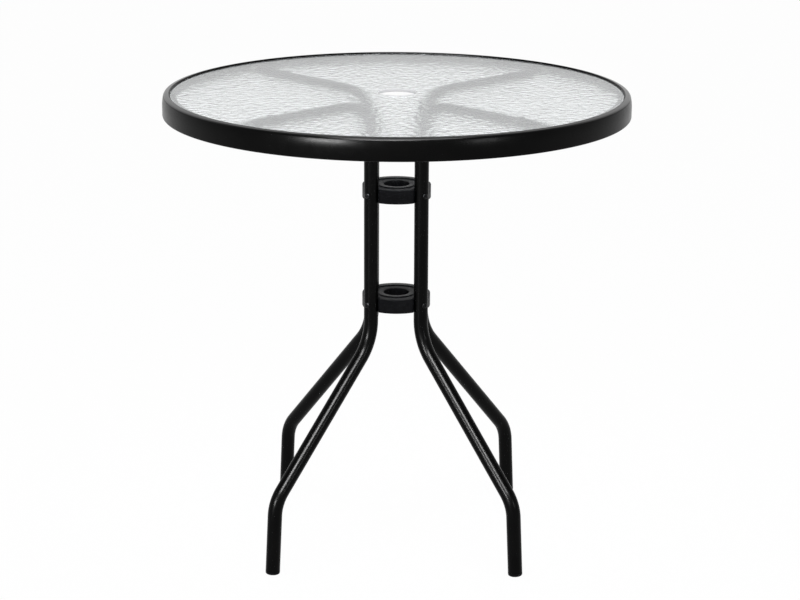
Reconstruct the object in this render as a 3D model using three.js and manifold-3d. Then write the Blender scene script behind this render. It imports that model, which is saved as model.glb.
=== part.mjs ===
// Round umbrella table: a sheet of rippled glass in a rolled steel rim, carried by four bent
// tube legs. Two moulded collars hold the legs together and guide the umbrella pole.
// Millimetres, +Z up, origin on the floor under the middle of the top.

import * as THREE from 'three';
import { mergeVertices } from 'three/addons/utils/BufferGeometryUtils.js';
import Module from 'manifold-3d';

const wasm = await Module();
wasm.setup();

// Whole table
const table_diameter = 711;
const table_height = 713;
const leg_count = 4;

// Clearances
const seat_gap = 0.3;
const cut_overrun = 2;

// Rim: one steel strip rolled to a channel, with a ledge that the glass lies on; its top falls
// outwards, and the upper part of its face leans in
const rim_height = 34;
const rim_width = 11.7;
const rim_strip = 1.2;
const rim_top_fall = 2;
const rim_crown_drop = 12;
const rim_crown_lean = 2.1;
const rim_crown_radius = 60;
const rim_shoulder_radius = 4.2;
const rim_edge_radius = 1.6;
const rim_corner_radius = 2.4;
const rim_lip_width = 7;
const rim_ledge_width = 9;

// Glass
const glass_thickness = 5;
const glass_drop = 2.8;
const glass_edge_chamfer = 0.8;
const umbrella_hole_diameter = 57;

// Leg tube and the route of its centre line, seen from the side
const tube_diameter = 22;
const tube_wall = 1.2;
const foot_spread = 261.5;
const ankle_spread = 254.5;
const ankle_height = 112;
const ankle_bend_radius = 57;
const knee_height = 328;
const knee_bend_radius = 85;
const column_spread = 54.2;
const shoulder_bend_radius = 60;

// Pressed end of each arm
const press_thickness = 2.5;
const press_length = 30;
const press_taper = 42;
const arm_end_gap = 8;

// Foot plug
const plug_flange = 5;
const plug_edge_radius = 3;
const plug_stem_length = 16;
const plug_stem_chamfer = 1.5;

// Bumper between an arm and the glass
const bumper_diameter = 10;
const bumper_height = 2;
const bumper_skirt = 1.4;
const bumper_edge_chamfer = 0.6;
const bumper_stem_diameter = 4.6;
const bumper_stem_length = 6;
const bumper_spread = 256;

// Collar
const collar_diameter = 105.6;
const collar_height = 21;
const collar_chamfer = 1;
const collar_corner_radius = 4;
const collar_bore_diameter = 39.5;
const upper_collar_drop = 145.3;
const lower_collar_lift = 46.3;
const collar_hub_wall = 9.5;
const collar_groove_width = 11;
const collar_groove_depth = 1.4;
const collar_groove_draft = 1;
const core_wall = 3.5;
const core_depth = 14;
const core_half_angle = THREE.MathUtils.degToRad(19);

// Screws that hold the legs to a collar
const collar_screw_diameter = 5;
const collar_screw_head_diameter = 8.6;
const collar_screw_head_height = 2.4;
const collar_screw_grip = 13;
const collar_screw_rise = 12.5;
const collar_screw_turn = THREE.MathUtils.degToRad(17);

// Shape of every screw, as shares of its head's height and its shank's radius
const pan_edge_share = 0.35;
const screw_tip_share = 0.5;

// Bracket, screw and nut that hold an arm under the rim
const bracket_thickness = 2;
const bracket_width = 30;
const bracket_reach = 32;
const bracket_drop = 14;
const bracket_bend_radius = 3.2;
const arm_screw_diameter = 6;
const arm_screw_head_diameter = 11;
const arm_screw_head_height = 3.2;
const arm_nut_width = 10;
const arm_nut_height = 4.6;
const nut_sides = 6;
const arm_screw_inset = 13;

// Fineness of the facets
const rim_facets = 60;
const tube_facets = 12;
const bore_facets = 24;
const small_facets = 10;
const ankle_steps = 3;
const knee_steps = 3;
const shoulder_steps = 7;
const press_steps = 3;
const notch_steps = 6;
const lobe_steps = 5;
const corner_steps = 2;

// Places that follow from the sizes
const rim_radius = table_diameter / 2;
const rim_bottom = table_height - rim_height;
const glass_top = table_height - glass_drop;
const glass_bottom = glass_top - glass_thickness;
const glass_radius = rim_radius - rim_width - seat_gap;
const tube_radius = tube_diameter / 2;
const arm_crown = glass_bottom - bumper_height;
const arm_height = arm_crown - tube_radius;
const upper_collar_base = arm_height - upper_collar_drop;
const lower_collar_base = knee_height + lower_collar_lift;
const collar_radius = collar_diameter / 2;
const bore_radius = collar_bore_diameter / 2;
const collar_screw_radius = collar_screw_diameter / 2;
const arm_screw_radius = arm_screw_diameter / 2;
const wall_apothem = (rim_radius - rim_strip) * Math.cos(Math.PI / rim_facets);
const wall_face = Math.sqrt((wall_apothem - seat_gap) ** 2 - (bracket_width / 2) ** 2);
const arm_end = wall_face - arm_end_gap;
const arm_screw_spread = arm_end - arm_screw_inset;
const bracket_underside = arm_height + press_thickness / 2 + seat_gap;
const ankle_slope = Math.atan2(foot_spread - ankle_spread, ankle_height);
const quarter_turn = Math.PI / 2;
const full_turn = 2 * Math.PI;

// Finishes
const black_steel = new THREE.MeshStandardMaterial({ color: 0x17171a, roughness: 0.38, metalness: 0.3 });
const rippled_glass = new THREE.MeshStandardMaterial({
  color: 0xdfe7e6, roughness: 0.08, metalness: 0, transparent: true, opacity: 0.4,
});
const black_plastic = new THREE.MeshStandardMaterial({ color: 0x2b2b2e, roughness: 0.55, metalness: 0 });
const black_rubber = new THREE.MeshStandardMaterial({ color: 0x1b1b1b, roughness: 0.8, metalness: 0 });
const screw_steel = new THREE.MeshStandardMaterial({ color: 0x2c2c2e, roughness: 0.35, metalness: 0.8 });
const zinc_steel = new THREE.MeshStandardMaterial({ color: 0x9a9c9e, roughness: 0.4, metalness: 1 });

// Solid modelling helpers

function toSolid(geometry) {
  const bare = geometry.clone();
  bare.deleteAttribute('normal');
  bare.deleteAttribute('uv');
  const merged = mergeVertices(bare);
  return new wasm.Manifold(new wasm.Mesh({
    numProp: 3,
    vertProperties: new Float32Array(merged.attributes.position.array),
    triVerts: new Uint32Array(merged.index.array),
  }));
}

function toGeometry(solid) {
  const mesh = solid.getMesh();
  const geometry = new THREE.BufferGeometry();
  geometry.setAttribute('position', new THREE.BufferAttribute(new Float32Array(mesh.vertProperties), 3));
  geometry.setIndex(new THREE.BufferAttribute(new Uint32Array(mesh.triVerts), 1));
  geometry.computeVertexNormals();
  return geometry;
}

function subtractAll(geometry, cutters) {
  let solid = toSolid(geometry);
  for (const cutter of cutters) solid = solid.subtract(toSolid(cutter));
  return toGeometry(solid);
}

// Points of an arc from one angle to another, both ends included
function arc(centre_x, centre_y, radius, from, to, steps) {
  const points = [];
  for (let i = 0; i <= steps; i++) {
    const angle = from + ((to - from) * i) / steps;
    points.push(new THREE.Vector2(centre_x + radius * Math.cos(angle), centre_y + radius * Math.sin(angle)));
  }
  return points;
}

// A line through corners that are bent to radii, as stations with a place and a heading
function bentLine(corners) {
  const stations = [];
  const heading = (a, b) => Math.atan2(b.y - a.y, b.x - a.x);
  corners.forEach((corner, i) => {
    if (i === 0 || i === corners.length - 1) {
      const [a, b] = i === 0 ? [corner, corners[1]] : [corners[i - 1], corner];
      stations.push({ x: corner.x, y: corner.y, heading: heading(a, b) });
      return;
    }
    const before = heading(corners[i - 1], corner);
    const turn = Math.atan2(
      Math.sin(heading(corner, corners[i + 1]) - before),
      Math.cos(heading(corner, corners[i + 1]) - before),
    );
    const side = Math.sign(turn);
    const tangent = corner.radius * Math.tan(Math.abs(turn) / 2);
    const centre_x = corner.x - tangent * Math.cos(before) - side * corner.radius * Math.sin(before);
    const centre_y = corner.y - tangent * Math.sin(before) + side * corner.radius * Math.cos(before);
    for (let step = 0; step <= corner.steps; step++) {
      const angle = before + (turn * step) / corner.steps;
      stations.push({
        x: centre_x + side * corner.radius * Math.sin(angle),
        y: centre_y - side * corner.radius * Math.cos(angle),
        heading: angle,
      });
    }
  });
  return stations;
}

// Outline of a bent strip whose show face follows the line and whose other face lies to its left
function stripOutline(corners, thickness) {
  const skin = bentLine(corners);
  const back = skin.map(({ x, y, heading }) => (
    new THREE.Vector2(x - thickness * Math.sin(heading), y + thickness * Math.cos(heading))
  ));
  return [...skin.map(({ x, y }) => new THREE.Vector2(x, y)), ...back.reverse()];
}

// A profile of radius and height, turned about the Z axis
function turned(profile, facets) {
  const geometry = new THREE.LatheGeometry(profile, facets);
  geometry.rotateX(quarter_turn);
  return geometry;
}

function closedRing(points) {
  return [...points, points[0].clone()];
}

function rod(radius, from, to, facets) {
  const geometry = new THREE.CylinderGeometry(radius, radius, to - from, facets);
  geometry.rotateX(quarter_turn);
  geometry.translate(0, 0, (from + to) / 2);
  return geometry;
}

// Rim

function rimProfile() {
  const inner = rim_radius - rim_width;
  const ledge = glass_bottom - seat_gap;
  return stripOutline([
    { x: rim_radius - rim_lip_width, y: rim_bottom },
    { x: rim_radius, y: rim_bottom, radius: rim_corner_radius, steps: 1 },
    { x: rim_radius, y: table_height - rim_crown_drop, radius: rim_crown_radius, steps: 1 },
    {
      x: rim_radius - rim_crown_lean, y: table_height - rim_top_fall, radius: rim_shoulder_radius, steps: 2,
    },
    { x: inner, y: table_height, radius: rim_edge_radius, steps: 1 },
    { x: inner, y: ledge, radius: glass_edge_chamfer + seat_gap, steps: 1 },
    { x: inner - rim_ledge_width, y: ledge },
  ], rim_strip);
}

function rimGeometry() {
  return turned(closedRing(rimProfile()), rim_facets);
}

// Glass

function glassGeometry() {
  const hole = umbrella_hole_diameter / 2;
  const edge = glass_edge_chamfer;
  const outline = [
    [hole + edge, glass_bottom], [glass_radius - edge, glass_bottom],
    [glass_radius, glass_bottom + edge], [glass_radius, glass_top - edge],
    [glass_radius - edge, glass_top], [hole + edge, glass_top],
    [hole, glass_top - edge], [hole, glass_bottom + edge],
  ];
  return turned(closedRing(outline.map(([x, y]) => new THREE.Vector2(x, y))), rim_facets);
}

// Legs

// Centre line of one leg from its foot to the pressed end of its arm, in the plane of the leg
function legRoute() {
  const lift = plug_flange + seat_gap;
  return [
    { x: foot_spread - lift * Math.sin(ankle_slope), y: lift * Math.cos(ankle_slope) },
    { x: ankle_spread, y: ankle_height, radius: ankle_bend_radius, steps: ankle_steps },
    { x: column_spread, y: knee_height, radius: knee_bend_radius, steps: knee_steps },
    { x: column_spread, y: arm_height, radius: shoulder_bend_radius, steps: shoulder_steps },
    { x: arm_end, y: arm_height },
  ];
}

// Half height and half width of the tube, pressed by a share of the way from round to flat;
// the girth stays that of the round tube
function pressedHalves(share) {
  const half_height = THREE.MathUtils.lerp(tube_radius, press_thickness / 2, share);
  return { half_height, half_width: half_height + quarter_turn * (tube_radius - half_height) };
}

function legStations() {
  const stations = bentLine(legRoute()).map((station) => ({ ...station, share: 0 }));
  const end = stations.pop();
  const flat_start = end.x - press_length;
  for (let i = 0; i <= press_steps; i++) {
    const way = i / press_steps;
    stations.push({
      ...end,
      x: flat_start - press_taper * (1 - way),
      share: THREE.MathUtils.smoothstep(way, 0, 1),
    });
  }
  stations.push({ ...end, share: 1 });
  return stations;
}

// One ring of points round a station: two half circles joined by flats
function sectionPoints(station, half_width, half_height) {
  const points = [];
  for (let i = 0; i < tube_facets; i++) {
    const angle = ((i + 0.5) / tube_facets) * full_turn;
    const across = half_height * Math.cos(angle) + Math.sign(Math.cos(angle)) * (half_width - half_height);
    const up = half_height * Math.sin(angle);
    points.push([
      station.x - up * Math.sin(station.heading),
      across,
      station.y + up * Math.cos(station.heading),
    ]);
  }
  return points;
}

function legTube() {
  const stations = legStations();
  const outer = stations.map((station) => {
    const { half_width, half_height } = pressedHalves(station.share);
    return sectionPoints(station, half_width, half_height);
  });
  const inner = stations
    .map((station) => ({ station, ...pressedHalves(station.share) }))
    .filter(({ half_height }) => half_height > tube_wall + seat_gap)
    .map(({ station, half_width, half_height }) => (
      sectionPoints(station, half_width - tube_wall, half_height - tube_wall)
    ));
  const rings = [...inner.reverse(), ...outer];
  const positions = rings.flat(2);
  const faces = [];
  const corner = (ring, i) => ring * tube_facets + (i % tube_facets);
  for (let ring = 0; ring + 1 < rings.length; ring++) {
    for (let i = 0; i < tube_facets; i++) {
      faces.push(corner(ring, i), corner(ring, i + 1), corner(ring + 1, i + 1));
      faces.push(corner(ring, i), corner(ring + 1, i + 1), corner(ring + 1, i));
    }
  }
  const last = rings.length - 1;
  for (let i = 1; i + 1 < tube_facets; i++) {
    faces.push(corner(0, 0), corner(0, i + 1), corner(0, i));
    faces.push(corner(last, 0), corner(last, i), corner(last, i + 1));
  }
  const geometry = new THREE.BufferGeometry();
  geometry.setAttribute('position', new THREE.Float32BufferAttribute(positions, 3));
  geometry.setIndex(faces);
  return geometry;
}

// Puts a piece made along +Z on the axis of a collar screw, outwards from the middle of the column
function onScrewAxis(geometry, base, hand) {
  geometry.rotateY(quarter_turn);
  geometry.rotateZ(hand * collar_screw_turn);
  geometry.translate(column_spread, 0, base + collar_screw_rise);
  return geometry;
}

function legGeometry(hand) {
  const cutters = [];
  const reach = tube_radius + cut_overrun;
  for (const base of [upper_collar_base, lower_collar_base]) {
    const drill = rod(collar_screw_radius + seat_gap, -reach, reach, small_facets);
    cutters.push(onScrewAxis(drill, base, hand));
  }
  const bumper_drill = rod(bumper_stem_diameter / 2 + seat_gap, arm_height, arm_crown + cut_overrun, small_facets);
  bumper_drill.translate(bumper_spread, 0, 0);
  cutters.push(bumper_drill);
  const arm_drill = rod(
    arm_screw_radius + seat_gap,
    arm_height - press_thickness - cut_overrun,
    arm_height + press_thickness + cut_overrun,
    small_facets,
  );
  arm_drill.translate(arm_screw_spread, 0, 0);
  cutters.push(arm_drill);
  return subtractAll(legTube(), cutters);
}

// Foot plug, tilted with the foot and cut flat where it stands on the floor

function footPlugGeometry() {
  const sink = tube_radius * Math.sin(ankle_slope);
  const stem = tube_radius - tube_wall - seat_gap;
  const top = plug_flange + plug_stem_length;
  const profile = [
    new THREE.Vector2(0, -sink),
    ...arc(tube_radius - plug_edge_radius, plug_edge_radius - sink, plug_edge_radius, -quarter_turn, 0, 2),
    new THREE.Vector2(tube_radius, plug_flange),
    new THREE.Vector2(stem, plug_flange),
    new THREE.Vector2(stem, top - plug_stem_chamfer),
    new THREE.Vector2(stem - plug_stem_chamfer, top),
    new THREE.Vector2(0, top),
  ];
  const plug = turned(profile, tube_facets);
  plug.rotateZ(Math.PI / tube_facets);
  plug.rotateY(-ankle_slope);
  plug.translate(foot_spread, 0, 0);
  const below = new THREE.BoxGeometry(tube_diameter * 2, tube_diameter * 2, tube_diameter);
  below.translate(foot_spread, 0, -tube_radius);
  return subtractAll(plug, [below]);
}

// Rubber bumper, saddled on the arm

function bumperGeometry() {
  const radius = bumper_diameter / 2;
  const top = bumper_height - seat_gap;
  const head = turned([
    new THREE.Vector2(0, -bumper_skirt),
    new THREE.Vector2(radius, -bumper_skirt),
    new THREE.Vector2(radius, top - bumper_edge_chamfer),
    new THREE.Vector2(radius - bumper_edge_chamfer, top),
    new THREE.Vector2(0, top),
  ], small_facets);
  const saddle = rod(tube_radius + seat_gap, -bumper_diameter, bumper_diameter, bore_facets);
  saddle.rotateY(quarter_turn);
  saddle.translate(0, 0, -tube_radius);
  const stem = rod(bumper_stem_diameter / 2, -bumper_stem_length, top / 2, small_facets);
  const solid = toSolid(head).subtract(toSolid(saddle)).add(toSolid(stem));
  const geometry = toGeometry(solid);
  geometry.translate(bumper_spread, 0, arm_crown);
  return geometry;
}

// Collars

// Outline with a round notch for each leg; the corners of the lobes are rounded
function collarOutline() {
  const notch = tube_radius + seat_gap;
  const round = collar_corner_radius;
  const corner_distance = collar_radius - round;
  const corner_angle = Math.acos(
    (corner_distance ** 2 + column_spread ** 2 - (notch + round) ** 2) / (2 * corner_distance * column_spread),
  );
  const outline = [];
  for (let leg = 0; leg < leg_count; leg++) {
    const towards = legAngle(leg);
    const notch_x = column_spread * Math.cos(towards);
    const notch_y = column_spread * Math.sin(towards);
    const lean = Math.atan2(
      corner_distance * Math.sin(corner_angle),
      column_spread - corner_distance * Math.cos(corner_angle),
    );
    for (const side of [-1, 1]) {
      const angle = towards + side * corner_angle;
      const x = corner_distance * Math.cos(angle);
      const y = corner_distance * Math.sin(angle);
      const inwards = towards - side * lean;
      const sweep = side < 0 ? [angle, inwards] : [inwards, angle];
      outline.push(...arc(x, y, round, sweep[0], sweep[1], corner_steps));
      if (side < 0) {
        const start = inwards + Math.PI;
        outline.push(...arc(notch_x, notch_y, notch, start, start - 2 * lean, notch_steps).slice(1, -1));
      }
    }
    const next = towards + full_turn / leg_count;
    const lobe = arc(0, 0, collar_radius, towards + corner_angle, next - corner_angle, lobe_steps);
    outline.push(...lobe.slice(1, -1));
  }
  return outline;
}

function collarGroove() {
  const inner = bore_radius + collar_hub_wall;
  const outer = inner + collar_groove_width;
  const floor = collar_height - collar_groove_depth;
  return turned(closedRing([
    new THREE.Vector2(inner, floor),
    new THREE.Vector2(outer, floor),
    new THREE.Vector2(outer + collar_groove_draft, collar_height),
    new THREE.Vector2(outer + collar_groove_draft, collar_height + cut_overrun),
    new THREE.Vector2(inner - collar_groove_draft, collar_height + cut_overrun),
    new THREE.Vector2(inner - collar_groove_draft, collar_height),
  ]), bore_facets);
}

// Hollow that cores out one lobe from below, as wide at the hub as the wall round the bore allows
function collarCore(towards) {
  const inner = bore_radius + core_wall;
  const outer = collar_radius - core_wall;
  const outline = [
    ...arc(0, 0, outer, towards - core_half_angle, towards + core_half_angle, 3),
    ...arc(0, 0, inner, towards + core_half_angle, towards - core_half_angle, 2),
  ];
  const core = new THREE.ExtrudeGeometry(new THREE.Shape(outline), {
    depth: core_depth + cut_overrun, bevelEnabled: false,
  });
  core.translate(0, 0, -cut_overrun);
  return core;
}

function collarGeometry(base) {
  const shape = new THREE.Shape(collarOutline());
  shape.holes.push(new THREE.Path(arc(0, 0, bore_radius, full_turn, 0, bore_facets).slice(0, -1)));
  const body = new THREE.ExtrudeGeometry(shape, {
    depth: collar_height - 2 * collar_chamfer,
    bevelThickness: collar_chamfer,
    bevelSize: collar_chamfer,
    bevelOffset: -collar_chamfer,
    bevelSegments: 1,
  });
  body.translate(0, 0, collar_chamfer);
  const cutters = [collarGroove()];
  for (let leg = 0; leg < leg_count; leg++) {
    cutters.push(collarCore(legAngle(leg) + Math.PI / leg_count));
    const pilot = rod(
      collar_screw_radius + seat_gap,
      -tube_radius - collar_screw_grip - 2 * seat_gap,
      0,
      small_facets,
    );
    onScrewAxis(pilot, 0, legHand(leg));
    pilot.rotateZ(legAngle(leg));
    cutters.push(pilot);
  }
  const geometry = subtractAll(body, cutters);
  geometry.translate(0, 0, base);
  return geometry;
}

// Screws and nuts

// Pan head screw along Z: the head stands above the seat at zero, the shank runs down from it
function panScrew(head_diameter, head_height, shank_diameter, length) {
  const head = head_diameter / 2;
  const shank = shank_diameter / 2;
  const edge = head_height * pan_edge_share;
  const tip = shank * screw_tip_share;
  return turned([
    new THREE.Vector2(0, -length),
    new THREE.Vector2(shank - tip, -length),
    new THREE.Vector2(shank, tip - length),
    new THREE.Vector2(shank, 0),
    new THREE.Vector2(head, 0),
    new THREE.Vector2(head, edge),
    new THREE.Vector2(head - 2 * edge, head_height),
    new THREE.Vector2(0, head_height),
  ], small_facets);
}

function collarScrewGeometry(base, hand) {
  const length = tube_diameter + 2 * seat_gap + collar_screw_grip;
  const screw = panScrew(
    collar_screw_head_diameter, collar_screw_head_height, collar_screw_diameter, length,
  );
  screw.translate(0, 0, tube_radius + seat_gap);
  return onScrewAxis(screw, base, hand);
}

function armScrewGeometry() {
  const seat = arm_height - press_thickness / 2 - seat_gap;
  const nut_top = bracket_underside + bracket_thickness + seat_gap + arm_nut_height;
  const screw = panScrew(
    arm_screw_head_diameter, arm_screw_head_height, arm_screw_diameter, nut_top - seat + 2 * seat_gap,
  );
  screw.rotateX(Math.PI);
  screw.translate(arm_screw_spread, 0, seat);
  return screw;
}

function armNutGeometry() {
  const corner = arm_nut_width / 2 / Math.cos(Math.PI / nut_sides);
  const shape = new THREE.Shape(arc(0, 0, corner, 0, full_turn, nut_sides).slice(0, -1));
  const bore = arc(0, 0, arm_screw_radius + seat_gap, full_turn, 0, small_facets).slice(0, -1);
  shape.holes.push(new THREE.Path(bore));
  const nut = new THREE.ExtrudeGeometry(shape, { depth: arm_nut_height, bevelEnabled: false });
  nut.translate(arm_screw_spread, 0, bracket_underside + bracket_thickness + seat_gap);
  return nut;
}

// Bracket welded inside the rim: its flat wing bears on the round wall along both edges

function bracketGeometry() {
  const top = bracket_underside + bracket_thickness;
  const outline = stripOutline([
    { x: wall_face, y: top - bracket_drop },
    { x: wall_face, y: top, radius: bracket_bend_radius, steps: 3 },
    { x: wall_face - bracket_reach, y: top },
  ], bracket_thickness);
  const plate = new THREE.ExtrudeGeometry(new THREE.Shape(outline), {
    depth: bracket_width, bevelEnabled: false,
  });
  plate.translate(0, 0, -bracket_width / 2);
  plate.rotateX(quarter_turn);
  const drill = rod(arm_screw_radius + seat_gap, bracket_underside - cut_overrun, top + cut_overrun, small_facets);
  drill.translate(arm_screw_spread, 0, 0);
  return subtractAll(plate, [drill]);
}

// Assembly

function legAngle(leg) {
  return ((leg + 0.5) / leg_count) * full_turn;
}

// Legs are made in left and right hands, so that the screws of a pair face the same way
function legHand(leg) {
  return leg % 2 === 0 ? 1 : -1;
}

function part(name, geometry, material) {
  const mesh = new THREE.Mesh(geometry, material);
  mesh.name = name;
  return mesh;
}

function legAssembly(leg) {
  const group = new THREE.Group();
  const number = leg + 1;
  const hand = legHand(leg);
  group.add(
    part(`leg_${number}`, legGeometry(hand), black_steel),
    part(`foot_plug_${number}`, footPlugGeometry(), black_plastic),
    part(`glass_bumper_${number}`, bumperGeometry(), black_rubber),
    part(`upper_collar_screw_${number}`, collarScrewGeometry(upper_collar_base, hand), screw_steel),
    part(`lower_collar_screw_${number}`, collarScrewGeometry(lower_collar_base, hand), screw_steel),
    part(`rim_bracket_${number}`, bracketGeometry(), black_steel),
    part(`arm_screw_${number}`, armScrewGeometry(), zinc_steel),
    part(`arm_nut_${number}`, armNutGeometry(), zinc_steel),
  );
  group.rotation.z = legAngle(leg);
  return group;
}

const table = new THREE.Group();
table.add(
  part('rim', rimGeometry(), black_steel),
  part('glass_top', glassGeometry(), rippled_glass),
  part('upper_collar', collarGeometry(upper_collar_base), black_plastic),
  part('lower_collar', collarGeometry(lower_collar_base), black_plastic),
);
for (let leg = 0; leg < leg_count; leg++) table.add(legAssembly(leg));

export default table;
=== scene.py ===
"""Round umbrella table: rippled glass in a rolled steel rim, on four bent tube legs.

The sizes are those of the real table in millimetres; meshes are written in metres. Sizes,
colours, finishes and lamps are named first, then come the makers of meshes and of finishes, then
those of each piece, and the table and its studio are put together at the end.
"""

import math

import bpy
import numpy as np
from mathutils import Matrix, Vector, noise


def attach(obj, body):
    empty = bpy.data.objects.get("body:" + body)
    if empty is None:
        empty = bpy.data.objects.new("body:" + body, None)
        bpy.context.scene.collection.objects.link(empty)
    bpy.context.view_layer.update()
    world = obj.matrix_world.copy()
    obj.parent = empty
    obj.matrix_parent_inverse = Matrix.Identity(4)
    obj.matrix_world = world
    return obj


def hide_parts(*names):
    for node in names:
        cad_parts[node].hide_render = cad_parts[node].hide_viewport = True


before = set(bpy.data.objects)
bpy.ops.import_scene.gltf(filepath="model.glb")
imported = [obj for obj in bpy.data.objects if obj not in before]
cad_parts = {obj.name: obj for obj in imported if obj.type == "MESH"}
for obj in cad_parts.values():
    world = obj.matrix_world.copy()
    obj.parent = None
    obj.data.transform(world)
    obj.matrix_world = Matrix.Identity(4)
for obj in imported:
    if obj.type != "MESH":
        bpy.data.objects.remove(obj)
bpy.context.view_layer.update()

# Units and angles
millimetre = 0.001
full_turn = 2 * math.pi
quarter_turn = math.pi / 2

# Whole table; the seat gap is the play wherever two parts meet
table_diameter = 711
table_height = 713
leg_count = 4
seat_gap = 0.3

# Rim; its edge radius is 1.6 in the CAD, and this finer arc has to stay inside the CAD's box
rim_height = 34
rim_width = 11.7
rim_strip = 1.2
rim_top_fall = 2
rim_crown_drop = 12
rim_crown_lean = 2.1
rim_crown_radius = 60
rim_shoulder_radius = 4.2
rim_edge_radius = 1.76
rim_corner_radius = 2.4
rim_lip_width = 7
rim_ledge_width = 9

# Glass; the shares of its chamfer place the points of the rounded edges
glass_thickness = 5
glass_drop = 2.8
glass_edge_chamfer = 0.8
glass_edge_side_share = 0.2
glass_edge_face_share = 0.5
glass_edge_end_share = 1.2
glass_edge_band_share = 4
umbrella_hole_diameter = 57

# Ripple rolled into the glass; it fades out over its margin, and its layer picks the pattern
ripple_size = 10
ripple_depth = 0.5
ripple_margin = 6
ripple_spacing = 2.7
ripple_layer = 0.5
ripple_ridge_share = 0.25
ripple_ridge_sharpness = 2

# Leg tube and its route
tube_diameter = 22
tube_wall = 1.2
tube_end_run = 1
tube_end_round = 0.4
foot_spread = 261.5
ankle_spread = 254.5
ankle_height = 112
ankle_bend_radius = 57
knee_height = 328
knee_bend_radius = 85
column_spread = 54.2
shoulder_bend_radius = 60
press_thickness = 2.5
press_length = 30
press_taper = 42
arm_end_gap = 8

# Foot plug
plug_flange = 5
plug_flange_break = 0.4
plug_edge_radius = 3
plug_stem_length = 16
plug_stem_chamfer = 1.5
plug_barb = 0.2
plug_barb_rise = 0.6
plug_barb_run = 1.4
plug_barb_pitch = 4
plug_barb_margin = 1

# Bumper
bumper_diameter = 10
bumper_height = 2
bumper_edge_radius = 0.8
bumper_stem_diameter = 4.6
bumper_stem_length = 6
bumper_spread = 256

# Collar; the share places the middle point of an edge that is rounded in two steps
collar_diameter = 105.6
collar_height = 21
collar_edge_radius = 1
collar_edge_middle_share = 0.3
collar_corner_radius = 4
collar_bore_diameter = 39.5
upper_collar_drop = 145.3
lower_collar_lift = 46.3
collar_hub_wall = 9.5
collar_groove_width = 11
collar_groove_depth = 1.4
collar_groove_draft = 1
core_wall = 3.5
core_depth = 14
core_half_angle = math.radians(19)
core_draft = math.radians(1)

# Screws of the collars
collar_screw_diameter = 5
collar_screw_head_diameter = 8.6
collar_screw_head_height = 2.4
collar_screw_grip = 13
collar_screw_rise = 12.5
collar_screw_turn = math.radians(17)

# Screw and nut of each arm
arm_screw_diameter = 6
arm_screw_head_diameter = 11
arm_screw_head_height = 3.2
arm_screw_inset = 13
arm_nut_width = 10
arm_nut_height = 4.6
nut_sides = 6
nut_face_share = 0.97
nut_chamfer_angle = math.radians(25)
nut_bore_chamfer = 0.4

# Shape of every screw; a share is of its head's radius or height, or of its shank's radius
head_crown_share = 0.62
head_side_share = 0.25
head_round_share = 0.68
head_edge_break = 0.1
head_edge_rise = 0.15
dome_start_share = 0.96
dome_tip_radius = 0.05
recess_wing_share = 0.52
recess_width_share = 0.13
recess_depth_share = 0.55
recess_slope_share = 0.55
shank_tip_share = 0.5

# Bracket of each arm and its weld beads; the ripple angle is in radians from end to end
bracket_thickness = 2
bracket_width = 30
bracket_reach = 32
bracket_drop = 14
bracket_bend_radius = 3.2
bracket_edge_break = 0.3
bead_radius = 1.6
bead_flat_share = 0.8
bead_sink = 0.7
bead_margin = 1
bead_end_share = 0.25
bead_ripple_share = 0.18
bead_ripple_angle = 30

# Fineness of the meshes; the CAD's rim has flat facets, and the bracket stands clear of them
rim_facets = 360
glass_facets = 768
tube_facets = 48
turned_facets = 48
collar_facets = 480
nut_facets = 72
bead_facets = 12
cad_rim_facets = 60
rim_corner_steps = 6
rim_crown_steps = 10
rim_shoulder_steps = 12
rim_edge_steps = 8
rim_ledge_steps = 4
ankle_steps = 16
knee_steps = 18
shoulder_steps = 36
press_steps = 24
plug_edge_steps = 8
bumper_edge_steps = 5
bracket_bend_steps = 8
bead_steps = 28
head_round_steps = 7
dome_rings = 16
sharp_angle = math.radians(35)

# Places that follow from the sizes
rim_radius = table_diameter / 2
rim_bottom = table_height - rim_height
glass_top = table_height - glass_drop
glass_bottom = glass_top - glass_thickness
glass_radius = rim_radius - rim_width - seat_gap
tube_radius = tube_diameter / 2
arm_crown = glass_bottom - bumper_height
arm_height = arm_crown - tube_radius
upper_collar_base = arm_height - upper_collar_drop
lower_collar_base = knee_height + lower_collar_lift
collar_radius = collar_diameter / 2
bore_radius = collar_bore_diameter / 2
wall_apothem = (rim_radius - rim_strip) * math.cos(math.pi / cad_rim_facets)
wall_face = math.sqrt((wall_apothem - seat_gap) ** 2 - (bracket_width / 2) ** 2)
arm_end = wall_face - arm_end_gap
arm_screw_spread = arm_end - arm_screw_inset
bracket_underside = arm_height + press_thickness / 2 + seat_gap
bracket_top = bracket_underside + bracket_thickness
ankle_slope = math.atan2(foot_spread - ankle_spread, ankle_height)

# Colours, as sRGB hex
black_powder = "#030303"
black_powder_worn = "#060606"
moulded_black = "#101012"
moulded_black_pale = "#151517"
plug_black = "#0d0d0e"
rubber_black = "#1a1a1a"
black_zinc = "#151516"
black_zinc_pale = "#212122"
bright_zinc = "#a9adb2"
bright_zinc_warm = "#b4b09f"
glass_tint = "#fbfeff"
ground_edge = "#f0f0f3"
ground_edge_pale = "#fafafc"
floor_white = "#fafafa"

# Middle of a noise, over which a pattern runs from one of its ends to the other
noise_low = 0.35
noise_high = 0.65

# Powder coat; it is wiped smooth where the rim's normal rises by more than wiped_rise
coat_shine = 0.05
coat_roughness = 0.24
wiped_shine = 0.32
wiped_roughness = 0.15
wiped_rise = 0.33
coat_roughness_spread = 0.03
coat_cloud_size = 45
coat_sheen_size = 12
coat_peel_size = 3
coat_peel_depth = 0.004

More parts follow.
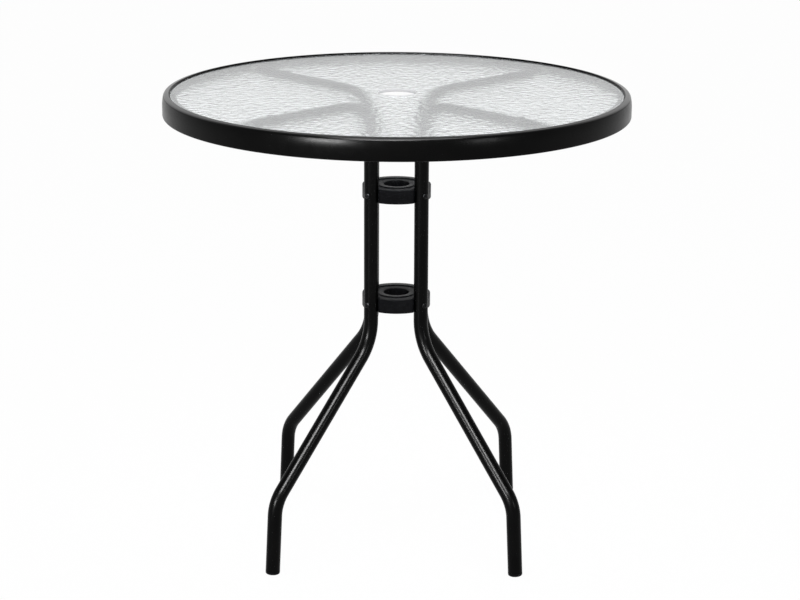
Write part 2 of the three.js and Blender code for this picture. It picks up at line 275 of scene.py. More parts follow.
# Glass; by the hole it is ground wherever its normal rises by less than ground_rise
glass_ior = 1.52
glass_roughness = 0.12
glass_clearness = 0.955
ground_rise = 0.9
ground_roughness = 0.6
ground_clearness = 0.1
ground_cloud_size = 1.5
ground_grit_size = 0.6
ground_grit_depth = 0.02

# Moulded plastic; a spark-eroded grain is under 0.1 mm, drawn as coarse as it has to be to show
moulding_shine = 0.04
moulding_roughness = 0.3
plug_roughness = 0.35
moulding_roughness_spread = 0.08
moulding_cloud_size = 14
moulding_sheen_size = 3
moulding_grain_size = 0.6
plug_grain_size = 0.9
moulding_grain_depth = 0.05

# Rubber
rubber_roughness = 0.85
rubber_cloud_size = 4
rubber_grain_size = 0.8
rubber_grain_depth = 0.04

# Zinc plate
black_zinc_roughness = 0.3
bright_zinc_roughness = 0.28
zinc_roughness_spread = 0.12
zinc_cloud_size = 2.5
zinc_sheen_size = 1.2
zinc_grain_size = 0.5
zinc_grain_depth = 0.01

# Detail of a noise: octaves beyond the first
soft_detail = 2
fine_detail = 3

# Camera of the photograph: in millimetres and radians, focus in pixels, reach in metres
camera_place = (32.2, -3442.9, 1357.8)
camera_pitch = 0.2762
camera_turn = 0.0089
camera_roll = -0.0045
camera_focus = 2297.7
camera_reach = 100
picture_width = 800
sensor_width = 36

# Studio: reach in metres, levels where 1 is white, and rises as the sine of the angle upwards
floor_reach = 40
floor_glow = 0.97
ceiling_level = 0.25
backdrop_rise = 0.5
ceiling_rise = 0.75

# Lamps: places, targets and sizes in metres, power in watts
rim_target = (0, 0, 0.68)
knee_target = (0, 0, 0.45)
top_target = (0, 0, 0.7)
key_place = (-1.566, -2.606, 1.13)
key_size = (0.9, 0.26)
key_power = 160
front_place = (-0.32, -2.4, 2.55)
front_size = (1.4, 0.45)
front_power = 400
fill_place = (1.96, -2.32, 1.1)
fill_size = (0.6, 0.3)
fill_power = 14
low_place = (-0.6, -0.8, 0.19)
low_size = (0.12, 0.33)
low_power = 0.6
top_place = (0, -0.6, 2.9)
top_size = (1.6, 1.6)
top_power = 45


# Mesh helpers


def turn_angles(count):
    """Equal steps of one full turn."""
    return full_turn * np.arange(count) / count


def on_circle(radius, angle, height):
    """The point at a radius and an angle round the Z axis."""
    return radius * math.cos(angle), radius * math.sin(angle), height


def circle(radius, height, angles):
    """A loop round the Z axis."""
    return [on_circle(radius, a, height) for a in angles]


def arc(centre_x, centre_y, radius, start, end, steps):
    """Points of an arc from one angle to another, both ends included."""
    angles = np.linspace(start, end, steps + 1)
    return [(centre_x + radius * math.cos(a), centre_y + radius * math.sin(a)) for a in angles]


def bent_line(corners):
    """A line through corners that are bent to radii: rows of x, y and heading."""
    stations = []
    for i, corner in enumerate(corners):
        x, y = corner[:2]
        if i in (0, len(corners) - 1):
            a, b = (corner, corners[1]) if i == 0 else (corners[-2], corner)
            stations.append((x, y, math.atan2(b[1] - a[1], b[0] - a[0])))
            continue
        radius, steps = corner[2:]
        before = math.atan2(y - corners[i - 1][1], x - corners[i - 1][0])
        after = math.atan2(corners[i + 1][1] - y, corners[i + 1][0] - x)
        turn = math.remainder(after - before, full_turn)
        side = math.copysign(1, turn)
        tangent = radius * math.tan(abs(turn) / 2)
        centre_x = x - tangent * math.cos(before) - side * radius * math.sin(before)
        centre_y = y - tangent * math.sin(before) + side * radius * math.cos(before)
        for heading in np.linspace(before, before + turn, steps + 1):
            bend_x = centre_x + side * radius * math.sin(heading)
            bend_y = centre_y - side * radius * math.cos(heading)
            stations.append((bend_x, bend_y, heading))
    return stations


def strip_outline(corners, thickness):
    """Outline of a bent strip: its show face follows the line, its other face lies to the left."""
    skin = bent_line(corners)
    back = [(x - thickness * math.sin(h), y + thickness * math.cos(h)) for x, y, h in skin]
    outline = [(x, y) for x, y, _ in skin]
    return outline + back[::-1]


def loops_to_mesh(loops, closed_path=False, cap_ends=False):
    """Joins loops of equal length into points and faces."""
    count = len(loops[0])
    points = [p for loop in loops for p in loop]
    faces = []
    spans = len(loops) if closed_path else len(loops) - 1
    for k in range(spans):
        low, high = k * count, ((k + 1) % len(loops)) * count
        for i in range(count):
            j = (i + 1) % count
            faces.append((low + i, low + j, high + j, high + i))
    if cap_ends:
        faces.append(tuple(range(count))[::-1])
        faces.append(tuple((len(loops) - 1) * count + i for i in range(count)))
    return points, faces


def turned(profile, facets, closed):
    """A profile of radius and height, turned about the Z axis. A closed one comes back to its
    start; an open one starts and ends on the axis."""
    angles = turn_angles(facets)
    loops = [circle(radius, height, angles) for radius, height in profile]
    if closed:
        return loops_to_mesh(loops, closed_path=True)
    inner = loops[1:-1]
    points, faces = loops_to_mesh(inner)
    for end, ring in ((profile[0], 0), (profile[-1], len(inner) - 1)):
        points.append((0, 0, end[1]))
        tip = len(points) - 1
        for i in range(facets):
            a, b = ring * facets + i, ring * facets + (i + 1) % facets
            faces.append((tip, b, a) if ring == 0 else (tip, a, b))
    return points, faces


def combine(*meshes):
    """Several sets of points and faces as one."""
    points, faces = [], []
    for more_points, more_faces in meshes:
        first = len(points)
        points += list(more_points)
        faces += [tuple(first + i for i in face) for face in more_faces]
    return points, faces


def moved(mesh, *changes):
    """The same mesh with each change made to its points, in order."""
    points, faces = mesh
    array = np.array(points, float)
    for change in changes:
        array = change(array)
    return array.tolist(), faces


def shift(x=0, y=0, z=0):
    """Moves points along the axes."""
    return lambda array: array + (x, y, z)


def spin(axis, angle):
    """Turns points about an axis through the origin, by the right-hand rule."""
    first, second = {"x": (1, 2), "y": (2, 0), "z": (0, 1)}[axis]

    def change(array):
        result = array.copy()
        result[:, first] = array[:, first] * math.cos(angle) - array[:, second] * math.sin(angle)
        result[:, second] = array[:, first] * math.sin(angle) + array[:, second] * math.cos(angle)
        return result

    return change


def above_floor(array):
    """Points below the floor are brought up to it."""
    return np.column_stack([array[:, 0], array[:, 1], np.maximum(array[:, 2], 0)])


def piece(name, mesh, material, node):
    """Makes a piece of the table from points in millimetres; it stands for a CAD node."""
    points, faces = mesh
    data = bpy.data.meshes.new(name)
    data.from_pydata([tuple(millimetre * c for c in p) for p in points], [], faces)
    data.validate()
    data.shade_smooth()
    data.set_sharp_from_angle(angle=sharp_angle)
    data.materials.append(material)
    made = bpy.data.objects.new(name, data)
    bpy.context.scene.collection.objects.link(made)
    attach(made, "root")
    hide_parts(node)
    return made


# Material helpers


def linear(hex_colour):
    """An sRGB hex colour as the linear values that a shader takes, by the sRGB curve."""
    values = [int(hex_colour[i : i + 2], 16) / 255 for i in (1, 3, 5)]
    return [v / 12.92 if v <= 0.04045 else ((v + 0.055) / 1.055) ** 2.4 for v in values] + [1]


def add(tree, kind, sockets=None, **settings):
    """Adds a node, sets it, and gives each named socket a value or a link."""
    node = tree.nodes.new(kind)
    for name, value in settings.items():
        setattr(node, name, value)
    for name, value in (sockets or {}).items():
        if isinstance(value, bpy.types.NodeSocket):
            tree.links.new(value, node.inputs[name])
        else:
            node.inputs[name].default_value = value
    return node


def new_material(name):
    """An empty material, its tree and its output node."""
    material = bpy.data.materials.new(name)
    material.use_nodes = True
    tree = material.node_tree
    tree.nodes.clear()
    return material, tree, add(tree, "ShaderNodeOutputMaterial")


def patterned_finish(name, plain, patterns):
    """A material on one shader. Its plain sockets are the same all over; a patterned one follows
    a noise fixed to the piece. A pattern is a size in millimetres, a detail, and two hex colours,
    the least and most roughness, or a depth of relief in millimetres."""
    material, tree, output = new_material(name)
    place = add(tree, "ShaderNodeTexCoord").outputs["Object"]
    sockets = dict(plain)
    for socket, (size, detail, ends) in patterns.items():
        field = add(
            tree,
            "ShaderNodeTexNoise",
            {"Vector": place, "Scale": 1 / (size * millimetre), "Detail": detail},
        ).outputs["Fac"]
        if socket == "Base Color":
            ramp = add(tree, "ShaderNodeValToRGB", {"Fac": field})
            stops = zip(ramp.color_ramp.elements, (noise_low, noise_high), ends)
            for stop, position, colour in stops:
                stop.position = position
                stop.color = linear(colour)
            sockets[socket] = ramp.outputs["Color"]
        elif socket == "Roughness":
            least, most = ends
            span = {"From Min": noise_low, "From Max": noise_high, "To Min": least, "To Max": most}
            level = add(tree, "ShaderNodeMapRange", {"Value": field, **span})
            sockets[socket] = level.outputs["Result"]
        else:
            relief = {"Height": field, "Distance": ends * millimetre, "Strength": 1}
            sockets[socket] = add(tree, "ShaderNodeBump", relief).outputs["Normal"]
    shader = add(tree, "ShaderNodeBsdfPrincipled", sockets)
    tree.links.new(shader.outputs[0], output.inputs["Surface"])
    return material


# Materials


def powder_coated_steel(name, shine, roughness):
    """Black polyester powder coat on steel: a smooth dark skin with a faint orange peel, so lamps
    show on it as soft streaks with slightly uneven edges."""
    return patterned_finish(
        name,
        {"Specular IOR Level": shine},
        {
            "Base Color": (coat_cloud_size, soft_detail, (black_powder, black_powder_worn)),
            "Roughness": (
                coat_sheen_size,
                soft_detail,
                (roughness, roughness + coat_roughness_spread),
            ),
            "Normal": (coat_peel_size, soft_detail, coat_peel_depth),
        },
    )


def rippled_toughened_glass():
    """Clear toughened soda-lime glass, rolled with a ripple: it bends and breaks up what is behind
    it, and its faces shine. Lamp light is let through to what stands below."""
    material, tree, output = new_material("rippled_toughened_glass")
    shader = add(
        tree,
        "ShaderNodeBsdfPrincipled",
        {
            "Base Color": linear(glass_tint),
            "Roughness": glass_roughness,
            "IOR": glass_ior,
            "Transmission Weight": glass_clearness,
        },
    )
    through = add(tree, "ShaderNodeBsdfTransparent", {"Color": linear(glass_tint)})
    lamp_ray = add(tree, "ShaderNodeLightPath").outputs["Is Shadow Ray"]
    mixed = {0: lamp_ray, 1: shader.outputs[0], 2: through.outputs[0]}
    mix = add(tree, "ShaderNodeMixShader", mixed)
    tree.links.new(mix.outputs[0], output.inputs["Surface"])
    return material


def ground_glass_edge():
    """Edge of the sheet, ground before toughening: pale and matt, so it shows as a light band."""
    return patterned_finish(
        "ground_glass_edge",
        {
            "Roughness": ground_roughness,
            "IOR": glass_ior,
            "Transmission Weight": ground_clearness,
        },
        {
            "Base Color": (ground_cloud_size, soft_detail, (ground_edge, ground_edge_pale)),
            "Normal": (ground_grit_size, soft_detail, ground_grit_depth),
        },
    )


def moulded_plastic(name, dark, pale, grain_size, roughness):
    """Black polypropylene or polyethylene, injection moulded in a spark-eroded tool: a fine even
    matt that turns grey where it faces the light."""
    return patterned_finish(
        name,
        {"Specular IOR Level": moulding_shine},
        {
            "Base Color": (moulding_cloud_size, soft_detail, (dark, pale)),
            "Roughness": (
                moulding_sheen_size,
                soft_detail,
                (roughness, roughness + moulding_roughness_spread),
            ),
            "Normal": (grain_size, fine_detail, moulding_grain_depth),
        },
    )


def nitrile_rubber():
    """Black nitrile rubber, moulded: dull, with no clear reflection."""
    return patterned_finish(
        "black_nitrile_rubber",
        {"Roughness": rubber_roughness},
        {
            "Base Color": (rubber_cloud_size, soft_detail, (rubber_black, plug_black)),
            "Normal": (rubber_grain_size, soft_detail, rubber_grain_depth),
        },
    )


def plated_steel(name, dark, pale, roughness):
    """Zinc plated steel, barrel plated and passivated: a cloudy metal shine."""
    return patterned_finish(
        name,
        {"Metallic": 1},
        {
            "Base Color": (zinc_cloud_size, fine_detail, (dark, pale)),
            "Roughness": (
                zinc_sheen_size,
                soft_detail,
                (roughness, roughness + zinc_roughness_spread),
            ),
            "Normal": (zinc_grain_size, soft_detail, zinc_grain_depth),
        },
    )


# Rim


def build_rim():
    """Strip rolled to a crowned channel, from its lower lip round to the ledge under the glass."""
    inner = rim_radius - rim_width
    ledge = glass_bottom - seat_gap
    crown_foot = table_height - rim_crown_drop
    shoulder = (rim_radius - rim_crown_lean, table_height - rim_top_fall)
    outline = strip_outline(
        [
            (rim_radius - rim_lip_width, rim_bottom),
            (rim_radius, rim_bottom, rim_corner_radius, rim_corner_steps),
            (rim_radius, crown_foot, rim_crown_radius, rim_crown_steps),
            (*shoulder, rim_shoulder_radius, rim_shoulder_steps),
            (inner, table_height, rim_edge_radius, rim_edge_steps),
            (inner, ledge, glass_edge_chamfer + seat_gap, rim_ledge_steps),
            (inner - rim_ledge_width, ledge),
        ],
        rim_strip,
    )
    rim = piece("rolled_rim", turned(outline, rim_facets, True), coated, "rim")
    rim.data.materials.append(wiped_coat)
    for face in rim.data.polygons:
        outside = face.center.xy.length > millimetre * (inner + rim_edge_radius)
        on_top = face.normal.z > wiped_rise and face.center.z > millimetre * glass_top
        face.material_index = int(outside and on_top)
    return rim


# Glass


def ripple(x, y):
    """Height of the rolled ripple, from 0 to 1: shallow dimples that meet in soft ridges."""
    place = Vector((x / ripple_size, y / ripple_size, ripple_layer))
    nearest, second = noise.voronoi(place)[0][:2]
    ridge = 1 - min(1, ripple_ridge_sharpness * (second - nearest))
    return min(1, nearest**2 + ripple_ridge_share * ridge)


def build_glass():
    """Round sheet with a hole in its middle: rippled below, flat on top, its edges ground round."""
    hole = umbrella_hole_diameter / 2
    edge = glass_edge_chamfer
    side, down = glass_edge_side_share * edge, glass_edge_face_share * edge
    end, band = glass_edge_end_share * edge, glass_edge_band_share * edge
    angles = turn_angles(glass_facets)
    rings = int((glass_radius - hole - 2 * edge) / ripple_spacing)
    radii = np.linspace(hole + edge, glass_radius - edge, rings + 1)
    loops = []
    for radius in radii:
        margin = min(radius - radii[0], radii[-1] - radius) / ripple_margin
        fade = ripple_depth * min(1, margin)
        loop = []
        for x, y, height in circle(radius, glass_bottom, angles):
            loop.append((x, y, height if fade == 0 else height + fade * (1 - ripple(x, y))))
        loops.append(loop)
    flat_profile = [
        (glass_radius - side, glass_bottom + down),
        (glass_radius, glass_bottom + end),
        (glass_radius, glass_top - end),
        (glass_radius - side, glass_top - down),
        (glass_radius - edge, glass_top),
        (glass_radius - band, glass_top),
        (hole + band, glass_top),
        (hole + edge, glass_top),
        (hole + side, glass_top - down),
        (hole, glass_top - end),
        (hole, glass_bottom + end),
        (hole + side, glass_bottom + down),
    ]
    loops += [circle(radius, height, angles) for radius, height in flat_profile]
    mesh = loops_to_mesh(loops, closed_path=True)
    sheet = piece("rippled_glass_sheet", mesh, glass, "glass_top")
    sheet.data.materials.append(ground_edge_finish)
    for face in sheet.data.polygons:
        by_hole = face.center.xy.length < millimetre * umbrella_hole_diameter
        face.material_index = int(by_hole and abs(face.normal.z) < ground_rise)
    return sheet


# Legs


def leg_angle(leg):
    """Direction of a leg: each stands halfway between two axes."""
    return full_turn * (leg + 0.5) / leg_count


def leg_hand(leg):
    """The collar screws of neighbouring legs turn to opposite sides."""
    return 1 if leg % 2 == 0 else -1


def to_leg(leg):
    """Turns a part that was made on the +X side to its leg."""
    return spin("z", leg_angle(leg))


def eased(way):
    """A way from 0 to 1 with a soft start and a soft end."""
    return way * way * (3 - 2 * way)


def leg_stations():
    """Rows of x, height, heading and the share of the way from round to pressed flat."""
    lift = plug_flange + seat_gap
    route = bent_line(
        [
            (foot_spread - lift * math.sin(ankle_slope), lift * math.cos(ankle_slope)),
            (ankle_spread, ankle_height, ankle_bend_radius, ankle_steps),
            (column_spread, knee_height, knee_bend_radius, knee_steps),
            (column_spread, arm_height, shoulder_bend_radius, shoulder_steps),
            (arm_end, arm_height),
        ]
    )
    stations = [(x, z, heading, 0) for x, z, heading in route[:-1]]
    flat_start = arm_end - press_length
    for step in range(press_steps + 1):
        way = step / press_steps
        stations.append((flat_start - press_taper * (1 - way), arm_height, 0, eased(way)))
    stations.append((arm_end - tube_end_run, arm_height, 0, 1))
    stations.append((arm_end, arm_height, 0, 1))
    return stations


def tube_half_height(share):
    """Half the tube's height where it is pressed by a share of the way to flat."""
    return tube_radius + (press_thickness / 2 - tube_radius) * share


def tube_section(station, inset):
    """One loop round the tube: two half circles joined by flats, set in by an amount."""
    x, z, heading, share = station
    half_height = tube_half_height(share)
    half_width = half_height + math.pi / 2 * (tube_radius - half_height) - inset
    half_height -= inset
    loop = []
    for i in range(tube_facets):
        angle = full_turn * (i + 0.5) / tube_facets
        flat = math.copysign(half_width - half_height, math.cos(angle))
        across = half_height * math.cos(angle) + flat
        up = half_height * math.sin(angle)
        loop.append((x - up * math.sin(heading), across, z + up * math.cos(heading)))
    return loop


def build_leg(leg):
    """Bent tube, hollow as far as the press leaves room for its bore."""
    stations = leg_stations()
    outer = [tube_section(s, 0) for s in stations[:-1]]
    outer.append(tube_section(stations[-1], tube_end_round))
    hollow = [s for s in stations if tube_half_height(s[-1]) > tube_wall + seat_gap]
    inner = [tube_section(s, tube_wall) for s in hollow]
    mesh = moved(loops_to_mesh(inner[::-1] + outer, cap_ends=True), to_leg(leg))
    return piece(f"leg_tube_{leg + 1}", mesh, coated, f"leg_{leg + 1}")


def build_plug(leg):
    """Plug with a rounded foot and barbed rings on the stem that grips the tube."""
    stem = tube_radius - tube_wall - seat_gap
    sink = tube_radius * math.sin(ankle_slope)
    top = plug_flange + plug_stem_length
    foot_x, foot_z = tube_radius - plug_edge_radius, plug_edge_radius - sink
    profile = [(0, -sink)]
    profile += arc(foot_x, foot_z, plug_edge_radius, -quarter_turn, 0, plug_edge_steps)
    profile.append((tube_radius, plug_flange - plug_flange_break))
    profile.append((tube_radius - plug_flange_break, plug_flange))
    height = plug_flange
    while height + plug_barb_pitch < top - plug_barb_margin:
        profile.append((stem, height))
        profile.append((stem + plug_barb, height + plug_barb_rise))
        profile.append((stem, height + plug_barb_run))
        height += plug_barb_pitch
    profile += [(stem, top - plug_stem_chamfer), (stem - plug_stem_chamfer, top), (0, top)]
    mesh = moved(
        turned(profile, turned_facets, False),
        spin("y", -ankle_slope),
        shift(x=foot_spread),
        above_floor,
        to_leg(leg),
    )
    return piece(f"foot_plug_cap_{leg + 1}", mesh, plug, f"foot_plug_{leg + 1}")


def build_bumper(leg):
    """Rubber bumper: a round head saddled on the tube, and a stem through its wall."""
    radius = bumper_diameter / 2
    stem = bumper_stem_diameter / 2
    shoulder = bumper_height - seat_gap - bumper_edge_radius
    saddle = tube_radius + seat_gap
    angles = turn_angles(turned_facets)

    def on_tube(r):
        loop = circle(r, 0, angles)
        return [(x, y, math.sqrt(saddle**2 - y**2) - tube_radius) for x, y, _ in loop]

    loops = [circle(stem, -bumper_stem_length, angles), on_tube(stem), on_tube(radius)]
    crown = (radius - bumper_edge_radius, shoulder, bumper_edge_radius)
    for r, z in arc(*crown, 0, quarter_turn, bumper_edge_steps):
        loops.append(circle(r, z, angles))
    mesh = moved(
        loops_to_mesh(loops, cap_ends=True),
        shift(x=bumper_spread, z=arm_crown),
        to_leg(leg),
    )
    return piece(f"bumper_{leg + 1}", mesh, rubber, f"glass_bumper_{leg + 1}")


# Collars


def collar_outline_radius(angle, inset):
    """Distance from the middle to the outline at an angle, with the outline set in by an amount:
    round lobes, a notch for each leg, and a rounded corner on each side of it."""
    notch = tube_radius + seat_gap + inset
    round_radius = collar_corner_radius - inset
    reach = notch + round_radius
    corner_distance = collar_radius - collar_corner_radius
    corner_angle = math.acos(
        (corner_distance**2 + column_spread**2 - reach**2) / (2 * corner_distance * column_spread)
    )
    off = abs(math.remainder(angle - leg_angle(0), full_turn / leg_count))
    if off >= corner_angle:
        return collar_radius - inset

    def ray(distance, centre_off, radius, sign):
        along = distance * math.cos(off - centre_off)
        across = distance * math.sin(off - centre_off)
        return along + sign * math.sqrt(radius**2 - across**2)

    corner_x = corner_distance * math.cos(corner_angle)
    corner_y = corner_distance * math.sin(corner_angle)
    touch_x = column_spread - notch * (column_spread - corner_x) / reach
    touch_y = notch * corner_y / reach
    if off <= math.atan2(touch_y, touch_x):
        return ray(column_spread, 0, notch, -1)
    return ray(corner_distance, corner_angle, round_radius, 1)


def core_from_below(mesh, span, angles):
    """Sinks a drafted pocket into each lobe, in one span of the collar's underside."""
    points, faces = mesh
    kept = []
    cored = []
    for index, face in enumerate(faces):
        face_span, i = divmod(index, collar_facets)
        middle = angles[i] + math.pi / collar_facets
        off = abs(math.remainder(middle, full_turn / leg_count))
        if face_span == span and off < core_half_angle:
            cored.append(i)
        else:
            kept.append(face)
    draft = math.tan(core_draft) * core_depth
    low, high = span * collar_facets, (span + 1) * collar_facets
    roof = {}
    for k in sorted({k for i in cored for k in (i, (i + 1) % collar_facets)}):
        roof[k] = len(points)
        for ring, sign in ((low, 1), (high, -1)):
            x, y, z = points[ring + k]
            inward = 1 + sign * draft / math.hypot(x, y)
            points.append((x * inward, y * inward, z + core_depth))
    for i in cored:
        j = (i + 1) % collar_facets
        here, there = roof[i], roof[j]
        kept.append((here, there, there + 1, here + 1))
        kept.append((low + i, low + j, there, here))
        kept.append((high + j, high + i, here + 1, there + 1))
        if (i - 1) % collar_facets not in cored:
            kept.append((high + i, low + i, here, here + 1))
        if j not in cored:
            kept.append((low + j, high + j, there + 1, there))
    return points, kept


def build_collar(name, base, node):
    """Moulded collar: lobed outline, hub round the bore, groove on top, lobes cored from below."""
    angles = turn_angles(collar_facets)
    hub = bore_radius + collar_hub_wall
    groove = hub + collar_groove_width
    groove_floor = collar_height - collar_groove_depth
    edge = collar_edge_radius
    middle = collar_edge_middle_share * edge

    def ring(radius, height):
        return circle(radius, base + height, angles)

    def outline(inset, height):
        return [on_circle(collar_outline_radius(a, inset), a, base + height) for a in angles]

    def core_outline():
        loop = []
        for a in angles:
            radius = min(collar_radius - core_wall, collar_outline_radius(a, core_wall / 2))
            loop.append(on_circle(radius, a, base))
        return loop

    lower_bore = [
        ring(bore_radius, edge),
        ring(bore_radius + middle, middle),
        ring(bore_radius + edge, 0),
    ]
    underside = [ring(bore_radius + core_wall, 0), core_outline()]
    side = [
        outline(edge, 0),
        outline(middle, middle),
        outline(0, edge),
        outline(0, collar_height - edge),
        outline(middle, collar_height - middle),
        outline(edge, collar_height),
    ]
    top = [
        ring(groove + collar_groove_draft, collar_height),
        ring(groove, groove_floor),
        ring(hub, groove_floor),
        ring(hub - collar_groove_draft, collar_height),
    ]
    upper_bore = [
        ring(bore_radius + edge, collar_height),
        ring(bore_radius + middle, collar_height - middle),
        ring(bore_radius, collar_height - edge),
    ]
    mesh = loops_to_mesh(lower_bore + underside + side + top + upper_bore, closed_path=True)
    mesh = core_from_below(mesh, len(lower_bore), angles)
    return piece(name, mesh, moulding, node)


# Screws and nuts


def screw_mesh(head_diameter, head_height, shank_diameter, length):
    """Pan head screw along +Z with a cross recess; the head's seat is at zero."""
    head, shank = head_diameter / 2, shank_diameter / 2
    angles = turn_angles(turned_facets)
    crown = head * head_crown_share
    side = head_height * head_side_share
    shoulder = head_height * (head_side_share + head_round_share)
    tip = shank * shank_tip_share
    wing, width = head * recess_wing_share, head * recess_width_share
    depth = head_height * recess_depth_share

    def recess(x, y):
        """Depth of the cross at a point: least at the ends of its wings."""
        across, along = sorted((abs(x), abs(y)))
        if along > wing or across > width:
            return 0
        return depth * (1 - recess_slope_share * along / wing)

    loops = [
        circle(tip, -length, angles),
        circle(shank, tip - length, angles),
        circle(shank, 0, angles),
        circle(head - head_edge_break, 0, angles),
        circle(head, head_edge_rise, angles),
    ]
    for out, up in arc(0, 0, 1, 0, quarter_turn, head_round_steps):
        loops.append(circle(crown + out * (head - crown), side + up * (shoulder - side), angles))
    for radius in np.linspace(crown * dome_start_share, dome_tip_radius, dome_rings):
        height = shoulder + (head_height - shoulder) * (1 - (radius / crown) ** 2)
        loop = circle(radius, height, angles)
        loops.append([(x, y, z - recess(x, y)) for x, y, z in loop])
    return loops_to_mesh(loops, cap_ends=True)


def build_collar_screw(leg, name, base):
    """Black screw that holds a leg in a collar; its head shows outside, turned off the leg's line."""
    length = tube_diameter + 2 * seat_gap + collar_screw_grip
    head = (collar_screw_head_diameter, collar_screw_head_height)
    mesh = moved(
        screw_mesh(*head, collar_screw_diameter, length),
        shift(z=tube_radius + seat_gap),
        spin("y", quarter_turn),
        spin("z", leg_hand(leg) * collar_screw_turn),
        shift(x=column_spread, z=base + collar_screw_rise),
        to_leg(leg),
    )
    node = f"{name}_{leg + 1}"
    return piece(f"{name}_head_{leg + 1}", mesh, black_plated, node)


def build_arm_screw(leg):
    """Bright screw through the arm's flat end, from below."""
    seat = arm_height - press_thickness / 2 - seat_gap
    nut_top = bracket_top + seat_gap + arm_nut_height
    head = (arm_screw_head_diameter, arm_screw_head_height)
    mesh = moved(
        screw_mesh(*head, arm_screw_diameter, nut_top - seat + 2 * seat_gap),
        spin("x", math.pi),
        shift(x=arm_screw_spread, z=seat),
        to_leg(leg),
    )
    return piece(f"arm_bolt_{leg + 1}", mesh, bright_plated, f"arm_screw_{leg + 1}")


def build_arm_nut(leg):
    """Hexagon nut with turned chamfers on both faces."""
    angles = turn_angles(nut_facets)
    flat = arm_nut_width / 2
    bottom = bracket_top + seat_gap
    top = bottom + arm_nut_height
    bore = arm_screw_diameter / 2 + seat_gap
    bore_edge = bore + nut_bore_chamfer
    face_radius = flat * nut_face_share

    def corner(sign, face_height):
        loop = []
        for a in angles:
            off = math.remainder(a - math.pi / nut_sides, full_turn / nut_sides)
            radius = flat / math.cos(off)
            drop = (radius - face_radius) * math.tan(nut_chamfer_angle)
            loop.append(on_circle(radius, a, face_height + sign * drop))
        return loop

    loops = [
        circle(bore, bottom + nut_bore_chamfer, angles),
        circle(bore_edge, bottom, angles),
        circle(face_radius, bottom, angles),
        corner(1, bottom),
        corner(-1, top),
        circle(face_radius, top, angles),
        circle(bore_edge, top, angles),
        circle(bore, top - nut_bore_chamfer, angles),
    ]
    mesh = moved(
        loops_to_mesh(loops, closed_path=True),
        shift(x=arm_screw_spread),
        to_leg(leg),
    )
    return piece(f"hexagon_nut_{leg + 1}", mesh, bright_plated, f"arm_nut_{leg + 1}")


# Brackets


def bead_mesh(side):
    """Weld bead up one side of the bracket: rippled, and thin at both ends."""
    start = bracket_top - bracket_drop + bead_margin
    run = bracket_drop - bracket_bend_radius - 2 * bead_margin
    rings = []
    for step in range(bead_steps + 1):
        way = step / bead_steps
        wave = bead_ripple_share * math.sin(way * bead_ripple_angle)
        share = bead_end_share if step in (0, bead_steps) else 1 - bead_ripple_share + wave
        swell = bead_radius * share
        ring = []
        for x, y, z in circle(swell, start + way * run, turn_angles(bead_facets)):
            ring.append((wall_face - bead_sink + bead_flat_share * x, side + y, z))
        rings.append(ring)
    return loops_to_mesh(rings, cap_ends=True)


def build_bracket(leg):
    """Bent plate with broken edges on its shelf, and two weld beads against the rim."""
    free_end = wall_face - bracket_reach
    outline = strip_outline(
        [
            (wall_face, bracket_top - bracket_drop),
            (wall_face, bracket_top, bracket_bend_radius, bracket_bend_steps),
            (free_end, bracket_top),
        ],
        bracket_thickness,
    )
    half = bracket_width / 2
    inner_half = half - bracket_edge_break
    stop = free_end + bracket_edge_break
    loops = []
    for y, end in ((-half, stop), (-inner_half, free_end), (inner_half, free_end), (half, stop)):
        loops.append([(max(x, end), y, z) for x, z in outline])
    points, faces = loops_to_mesh(loops, cap_ends=True)
    plate = (points, [face[::-1] for face in faces])
    mesh = moved(combine(plate, bead_mesh(-half), bead_mesh(half)), to_leg(leg))
    return piece(f"welded_bracket_{leg + 1}", mesh, coated, f"rim_bracket_{leg + 1}")


# Studio


def build_floor():
    """Pale floor that shows as white to the camera and keeps the table's shadow."""
    data = bpy.data.meshes.new("studio_floor")
    signs = ((-1, -1), (1, -1), (1, 1), (-1, 1))
    corners = [(floor_reach * x, floor_reach * y, 0) for x, y in signs]
    data.from_pydata(corners, [], [tuple(range(len(corners)))])
    floor = bpy.data.objects.new("studio_floor", data)
    bpy.context.scene.collection.objects.link(floor)
    material, tree, output = new_material("pale_studio_floor")
    paint = {"Base Color": linear(floor_white), "Roughness": 1}
    matt = add(tree, "ShaderNodeBsdfPrincipled", paint).outputs[0]
    white = add(tree, "ShaderNodeEmission", {"Strength": 1}).outputs[0]
    path = add(tree, "ShaderNodeLightPath").outputs
    seen = path["Is Camera Ray"]
    for ray in ("Is Glossy Ray", "Is Transmission Ray"):
        seen = add(tree, "ShaderNodeMath", {0: seen, 1: path[ray]}, operation="ADD").outputs[0]
    share = add(
        tree,
        "ShaderNodeMath",
        {0: seen, 1: floor_glow},
        operation="MULTIPLY",
        use_clamp=True,
    ).outputs[0]
    mix = add(tree, "ShaderNodeMixShader", {0: share, 1: matt, 2: white})
    tree.links.new(mix.outputs[0], output.inputs["Surface"])
    data.materials.append(material)
    return floor


def light_world():
    """White backdrop all round the table that falls off to a dim ceiling."""
    world = bpy.data.worlds.new("studio_world")
    bpy.context.scene.world = world
    world.use_nodes = True
    tree = world.node_tree
    tree.nodes.clear()
    output = add(tree, "ShaderNodeOutputWorld")
    direction = add(tree, "ShaderNodeTexCoord").outputs["Generated"]
    rise = add(tree, "ShaderNodeSeparateXYZ", {"Vector": direction}).outputs["Z"]
    level = add(
        tree,
        "ShaderNodeMapRange",
        {
            "Value": rise,
            "From Min": backdrop_rise,
            "From Max": ceiling_rise,
            "To Min": 1,
            "To Max": ceiling_level,
        },
        interpolation_type="SMOOTHSTEP",
    )
    studio = add(tree, "ShaderNodeBackground", {"Strength": level.outputs["Result"]})
    tree.links.new(studio.outputs[0], output.inputs["Surface"])


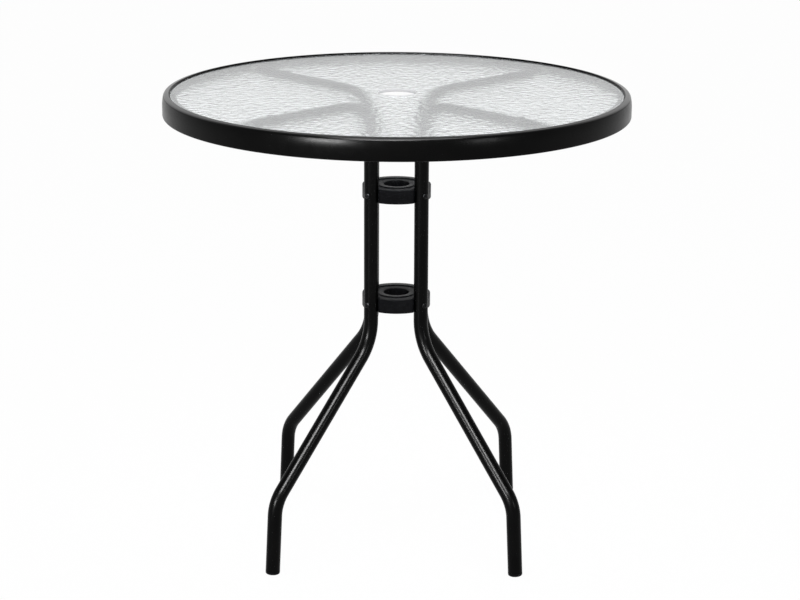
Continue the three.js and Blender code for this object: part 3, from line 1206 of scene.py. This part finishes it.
def softbox(name, place, target, size, power, streaks_on=()):
    """Rectangular lamp that faces a point. One that is given pieces only draws its streak on
    their gloss, and adds no light to the rest."""
    data = bpy.data.lights.new(name, "AREA")
    data.shape = "RECTANGLE"
    data.size, data.size_y = size
    data.energy = power
    lamp = bpy.data.objects.new(name, data)
    bpy.context.scene.collection.objects.link(lamp)
    lamp.location = place
    lamp.rotation_euler = (Vector(target) - Vector(place)).to_track_quat("-Z", "Y").to_euler()
    lamp.visible_camera = False
    if streaks_on:
        lamp.visible_diffuse = False
        receivers = bpy.data.collections.new(name + "_receivers")
        for made in streaks_on:
            receivers.objects.link(made)
        lamp.light_linking.receiver_collection = receivers
    return lamp


def place_camera():
    """Camera where the photograph was taken from."""
    data = bpy.data.cameras.new("photo_camera")
    data.sensor_width = sensor_width
    data.lens = camera_focus / picture_width * sensor_width
    data.clip_end = camera_reach
    camera = bpy.data.objects.new("photo_camera", data)
    bpy.context.scene.collection.objects.link(camera)
    camera.location = tuple(millimetre * c for c in camera_place)
    camera.rotation_euler = (quarter_turn - camera_pitch, camera_roll, camera_turn)
    bpy.context.scene.camera = camera


# Finishes
coated = powder_coated_steel("black_powder_coated_steel", coat_shine, coat_roughness)
wiped_coat = powder_coated_steel("black_powder_coat_wiped_smooth", wiped_shine, wiped_roughness)
glass = rippled_toughened_glass()
ground_edge_finish = ground_glass_edge()
moulding = moulded_plastic(
    "moulded_black_polypropylene",
    moulded_black,
    moulded_black_pale,
    moulding_grain_size,
    moulding_roughness,
)
plug = moulded_plastic(
    "moulded_black_polyethylene",
    plug_black,
    moulded_black,
    plug_grain_size,
    plug_roughness,
)
rubber = nitrile_rubber()
black_plated = plated_steel(
    "black_zinc_plated_steel",
    black_zinc,
    black_zinc_pale,
    black_zinc_roughness,
)
bright_plated = plated_steel(
    "bright_zinc_plated_steel",
    bright_zinc,
    bright_zinc_warm,
    bright_zinc_roughness,
)

# Table; the skins are the steel on which the streak lamps show
steel_skins = [build_rim()]
build_glass()
build_collar("upper_pole_collar", upper_collar_base, "upper_collar")
build_collar("lower_pole_collar", lower_collar_base, "lower_collar")
for leg in range(leg_count):
    steel_skins.append(build_leg(leg))
    build_plug(leg)
    build_bumper(leg)
    steel_skins.append(build_collar_screw(leg, "upper_collar_screw", upper_collar_base))
    steel_skins.append(build_collar_screw(leg, "lower_collar_screw", lower_collar_base))
    build_bracket(leg)
    build_arm_screw(leg)
    build_arm_nut(leg)

# Studio
build_floor()
light_world()
softbox("key_softbox", key_place, rim_target, key_size, key_power, steel_skins)
softbox("front_softbox", front_place, rim_target, front_size, front_power, steel_skins)
softbox("fill_softbox", fill_place, rim_target, fill_size, fill_power, steel_skins)
softbox("low_strip", low_place, knee_target, low_size, low_power, steel_skins)
softbox("top_softbox", top_place, top_target, top_size, top_power)
place_camera()
bpy.context.scene.view_settings.view_transform = "Standard"
